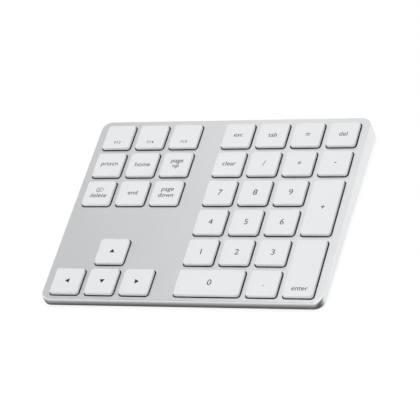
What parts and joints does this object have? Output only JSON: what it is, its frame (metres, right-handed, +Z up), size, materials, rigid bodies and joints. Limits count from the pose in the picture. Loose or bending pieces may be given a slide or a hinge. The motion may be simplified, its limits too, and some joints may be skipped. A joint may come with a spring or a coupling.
{
  "type": "numeric keypad",
  "caption": "Slim wireless numeric keypad: a wedge-shaped aluminium case with low white scissor keys in a number block and a navigation block.",
  "frame": {"origin": "on the desk, at the middle of the keypad's footprint", "axes": "+X to the typist's right along the keypad's width, +Y away from the typist, +Z up from the desk"},
  "size_m": [0.1498, 0.1184, 0.0128],
  "materials": {
    "case_aluminium": "bead-blasted and anodised silver, satin",
    "key_plastic": "fine matte white",
    "legend_ink": "printed dark grey legends on the caps",
    "cover_plastic": "light grey, fine texture",
    "foot_rubber": "matte black",
    "dome_rubber": "matte dark grey silicone",
    "plate_steel": "zinc-plated sheet",
    "spring_steel": "drawn wire",
    "screw_steel": "machined",
    "membrane_film": "clear polyester film with printed silver tracks",
    "circuit_board": "green solder mask",
    "shield_can": "tinned sheet",
    "battery_pouch": "laminated foil pouch",
    "lead_sleeve": "soft sleeve",
    "flex_film": "polyimide film",
    "port_shell": "plated steel shell",
    "switch_body": "black",
    "switch_knob": "light grey"
  },
  "bodies": {
    "base": {"top_case": "case_aluminium", "bottom_cover": "cover_plastic", "key_backplate": "plate_steel", "membrane_circuit": "membrane_film", "rubber_dome_sheet": "dome_rubber", "main_pcb": "circuit_board", "wireless_module": "shield_can", "battery": "battery_pouch", "battery_lead": "lead_sleeve", "flex_cable": "flex_film", "usb_c_port": "port_shell", "power_switch_body": "switch_body", "rubber_foot_front_left": "foot_rubber", "cover_screw_front_left": "screw_steel", "rubber_foot_front_right": "foot_rubber", "cover_screw_front_right": "screw_steel", "plate_screw_front": "screw_steel", "rubber_foot_back_left": "foot_rubber", "cover_screw_back_left": "screw_steel", "rubber_foot_back_right": "foot_rubber", "cover_screw_back_right": "screw_steel", "plate_screw_back": "screw_steel"},
    "key_f13": {"keycap_f13": "key_plastic"},
    "key_f14": {"keycap_f14": "key_plastic"},
    "key_f15": {"keycap_f15": "key_plastic"},
    "key_prtscn": {"keycap_prtscn": "key_plastic"},
    "key_home": {"keycap_home": "key_plastic"},
    "key_page_up": {"keycap_page_up": "key_plastic"},
    "key_delete": {"keycap_delete": "key_plastic"},
    "key_end": {"keycap_end": "key_plastic"},
    "key_page_down": {"keycap_page_down": "key_plastic"},
    "key_up": {"keycap_up": "key_plastic"},
    "key_left": {"keycap_left": "key_plastic"},
    "key_down": {"keycap_down": "key_plastic"},
    "key_right": {"keycap_right": "key_plastic"},
    "key_esc": {"keycap_esc": "key_plastic"},
    "key_tab": {"keycap_tab": "key_plastic"},
    "key_equals": {"keycap_equals": "key_plastic"},
    "key_del": {"keycap_del": "key_plastic"},
    "key_clear": {"keycap_clear": "key_plastic"},
    "key_divide": {"keycap_divide": "key_plastic"},
    "key_multiply": {"keycap_multiply": "key_plastic"},
    "key_minus": {"keycap_minus": "key_plastic"},
    "key_7": {"keycap_7": "key_plastic"},
    "key_8": {"keycap_8": "key_plastic"},
    "key_9": {"keycap_9": "key_plastic"},
    "key_plus": {"keycap_plus": "key_plastic", "stabiliser_wire_plus": "spring_steel"},
    "key_4": {"keycap_4": "key_plastic"},
    "key_5": {"keycap_5": "key_plastic"},
    "key_6": {"keycap_6": "key_plastic"},
    "key_1": {"keycap_1": "key_plastic"},
    "key_2": {"keycap_2": "key_plastic"},
    "key_3": {"keycap_3": "key_plastic"},
    "key_enter": {"keycap_enter": "key_plastic", "stabiliser_wire_enter": "spring_steel"},
    "key_0": {"keycap_0": "key_plastic", "stabiliser_wire_0": "spring_steel"},
    "key_decimal": {"keycap_decimal": "key_plastic"},
    "power_switch_knob": {"power_switch_slider": "switch_knob"}
  },
  "joints": [
    {"name": "power_switch_slide", "type": "slide", "parent": "base", "child": "power_switch_knob", "axis": [1, 0, 0], "range_m": [0, 0.002]},
    {"name": "key_0_press", "type": "slide", "parent": "base", "child": "key_0", "axis": [0, 0.0499, -0.9988], "range_m": [0, 0.0016], "stiffness_N_per_m": 194, "springref_m": -0.0013, "deforming": ["rubber_dome_sheet"]},
    {"name": "key_enter_press", "type": "slide", "parent": "base", "child": "key_enter", "axis": [0, 0.0499, -0.9988], "range_m": [0, 0.0016], "stiffness_N_per_m": 194, "springref_m": -0.0013, "deforming": ["rubber_dome_sheet"]},
    {"name": "key_plus_press", "type": "slide", "parent": "base", "child": "key_plus", "axis": [0, 0.0499, -0.9988], "range_m": [0, 0.0016], "stiffness_N_per_m": 194, "springref_m": -0.0013, "deforming": ["rubber_dome_sheet"]},
    {"name": "key_decimal_press", "type": "slide", "parent": "base", "child": "key_decimal", "axis": [0, 0.0499, -0.9988], "range_m": [0, 0.0016], "stiffness_N_per_m": 194, "springref_m": -0.0013, "deforming": ["rubber_dome_sheet"]},
    {"name": "key_f13_press", "type": "slide", "parent": "base", "child": "key_f13", "axis": [0, 0.0499, -0.9988], "range_m": [0, 0.0016], "stiffness_N_per_m": 194, "springref_m": -0.0013, "deforming": ["rubber_dome_sheet"]},
    {"name": "key_f14_press", "type": "slide", "parent": "base", "child": "key_f14", "axis": [0, 0.0499, -0.9988], "range_m": [0, 0.0016], "stiffness_N_per_m": 194, "springref_m": -0.0013, "deforming": ["rubber_dome_sheet"]},
    {"name": "key_f15_press", "type": "slide", "parent": "base", "child": "key_f15", "axis": [0, 0.0499, -0.9988], "range_m": [0, 0.0016], "stiffness_N_per_m": 194, "springref_m": -0.0013, "deforming": ["rubber_dome_sheet"]},
    {"name": "key_prtscn_press", "type": "slide", "parent": "base", "child": "key_prtscn", "axis": [0, 0.0499, -0.9988], "range_m": [0, 0.0016], "stiffness_N_per_m": 194, "springref_m": -0.0013, "deforming": ["rubber_dome_sheet"]},
    {"name": "key_home_press", "type": "slide", "parent": "base", "child": "key_home", "axis": [0, 0.0499, -0.9988], "range_m": [0, 0.0016], "stiffness_N_per_m": 194, "springref_m": -0.0013, "deforming": ["rubber_dome_sheet"]},
    {"name": "key_page_up_press", "type": "slide", "parent": "base", "child": "key_page_up", "axis": [0, 0.0499, -0.9988], "range_m": [0, 0.0016], "stiffness_N_per_m": 194, "springref_m": -0.0013, "deforming": ["rubber_dome_sheet"]},
    {"name": "key_delete_press", "type": "slide", "parent": "base", "child": "key_delete", "axis": [0, 0.0499, -0.9988], "range_m": [0, 0.0016], "stiffness_N_per_m": 194, "springref_m": -0.0013, "deforming": ["rubber_dome_sheet"]},
    {"name": "key_end_press", "type": "slide", "parent": "base", "child": "key_end", "axis": [0, 0.0499, -0.9988], "range_m": [0, 0.0016], "stiffness_N_per_m": 194, "springref_m": -0.0013, "deforming": ["rubber_dome_sheet"]},
    {"name": "key_page_down_press", "type": "slide", "parent": "base", "child": "key_page_down", "axis": [0, 0.0499, -0.9988], "range_m": [0, 0.0016], "stiffness_N_per_m": 194, "springref_m": -0.0013, "deforming": ["rubber_dome_sheet"]},
    {"name": "key_up_press", "type": "slide", "parent": "base", "child": "key_up", "axis": [0, 0.0499, -0.9988], "range_m": [0, 0.0016], "stiffness_N_per_m": 194, "springref_m": -0.0013, "deforming": ["rubber_dome_sheet"]},
    {"name": "key_left_press", "type": "slide", "parent": "base", "child": "key_left", "axis": [0, 0.0499, -0.9988], "range_m": [0, 0.0016], "stiffness_N_per_m": 194, "springref_m": -0.0013, "deforming": ["rubber_dome_sheet"]},
    {"name": "key_down_press", "type": "slide", "parent": "base", "child": "key_down", "axis": [0, 0.0499, -0.9988], "range_m": [0, 0.0016], "stiffness_N_per_m": 194, "springref_m": -0.0013, "deforming": ["rubber_dome_sheet"]},
    {"name": "key_right_press", "type": "slide", "parent": "base", "child": "key_right", "axis": [0, 0.0499, -0.9988], "range_m": [0, 0.0016], "stiffness_N_per_m": 194, "springref_m": -0.0013, "deforming": ["rubber_dome_sheet"]},
    {"name": "key_esc_press", "type": "slide", "parent": "base", "child": "key_esc", "axis": [0, 0.0499, -0.9988], "range_m": [0, 0.0016], "stiffness_N_per_m": 194, "springref_m": -0.0013, "deforming": ["rubber_dome_sheet"]},
    {"name": "key_tab_press", "type": "slide", "parent": "base", "child": "key_tab", "axis": [0, 0.0499, -0.9988], "range_m": [0, 0.0016], "stiffness_N_per_m": 194, "springref_m": -0.0013, "deforming": ["rubber_dome_sheet"]},
    {"name": "key_equals_press", "type": "slide", "parent": "base", "child": "key_equals", "axis": [0, 0.0499, -0.9988], "range_m": [0, 0.0016], "stiffness_N_per_m": 194, "springref_m": -0.0013, "deforming": ["rubber_dome_sheet"]},
    {"name": "key_del_press", "type": "slide", "parent": "base", "child": "key_del", "axis": [0, 0.0499, -0.9988], "range_m": [0, 0.0016], "stiffness_N_per_m": 194, "springref_m": -0.0013, "deforming": ["rubber_dome_sheet"]},
    {"name": "key_clear_press", "type": "slide", "parent": "base", "child": "key_clear", "axis": [0, 0.0499, -0.9988], "range_m": [0, 0.0016], "stiffness_N_per_m": 194, "springref_m": -0.0013, "deforming": ["rubber_dome_sheet"]},
    {"name": "key_divide_press", "type": "slide", "parent": "base", "child": "key_divide", "axis": [0, 0.0499, -0.9988], "range_m": [0, 0.0016], "stiffness_N_per_m": 194, "springref_m": -0.0013, "deforming": ["rubber_dome_sheet"]},
    {"name": "key_multiply_press", "type": "slide", "parent": "base", "child": "key_multiply", "axis": [0, 0.0499, -0.9988], "range_m": [0, 0.0016], "stiffness_N_per_m": 194, "springref_m": -0.0013, "deforming": ["rubber_dome_sheet"]},
    {"name": "key_minus_press", "type": "slide", "parent": "base", "child": "key_minus", "axis": [0, 0.0499, -0.9988], "range_m": [0, 0.0016], "stiffness_N_per_m": 194, "springref_m": -0.0013, "deforming": ["rubber_dome_sheet"]},
    {"name": "key_7_press", "type": "slide", "parent": "base", "child": "key_7", "axis": [0, 0.0499, -0.9988], "range_m": [0, 0.0016], "stiffness_N_per_m": 194, "springref_m": -0.0013, "deforming": ["rubber_dome_sheet"]},
    {"name": "key_8_press", "type": "slide", "parent": "base", "child": "key_8", "axis": [0, 0.0499, -0.9988], "range_m": [0, 0.0016], "stiffness_N_per_m": 194, "springref_m": -0.0013, "deforming": ["rubber_dome_sheet"]},
    {"name": "key_9_press", "type": "slide", "parent": "base", "child": "key_9", "axis": [0, 0.0499, -0.9988], "range_m": [0, 0.0016], "stiffness_N_per_m": 194, "springref_m": -0.0013, "deforming": ["rubber_dome_sheet"]},
    {"name": "key_4_press", "type": "slide", "parent": "base", "child": "key_4", "axis": [0, 0.0499, -0.9988], "range_m": [0, 0.0016], "stiffness_N_per_m": 194, "springref_m": -0.0013, "deforming": ["rubber_dome_sheet"]},
    {"name": "key_5_press", "type": "slide", "parent": "base", "child": "key_5", "axis": [0, 0.0499, -0.9988], "range_m": [0, 0.0016], "stiffness_N_per_m": 194, "springref_m": -0.0013, "deforming": ["rubber_dome_sheet"]},
    {"name": "key_6_press", "type": "slide", "parent": "base", "child": "key_6", "axis": [0, 0.0499, -0.9988], "range_m": [0, 0.0016], "stiffness_N_per_m": 194, "springref_m": -0.0013, "deforming": ["rubber_dome_sheet"]},
    {"name": "key_1_press", "type": "slide", "parent": "base", "child": "key_1", "axis": [0, 0.0499, -0.9988], "range_m": [0, 0.0016], "stiffness_N_per_m": 194, "springref_m": -0.0013, "deforming": ["rubber_dome_sheet"]},
    {"name": "key_2_press", "type": "slide", "parent": "base", "child": "key_2", "axis": [0, 0.0499, -0.9988], "range_m": [0, 0.0016], "stiffness_N_per_m": 194, "springref_m": -0.0013, "deforming": ["rubber_dome_sheet"]},
    {"name": "key_3_press", "type": "slide", "parent": "base", "child": "key_3", "axis": [0, 0.0499, -0.9988], "range_m": [0, 0.0016], "stiffness_N_per_m": 194, "springref_m": -0.0013, "deforming": ["rubber_dome_sheet"]}
  ]
}
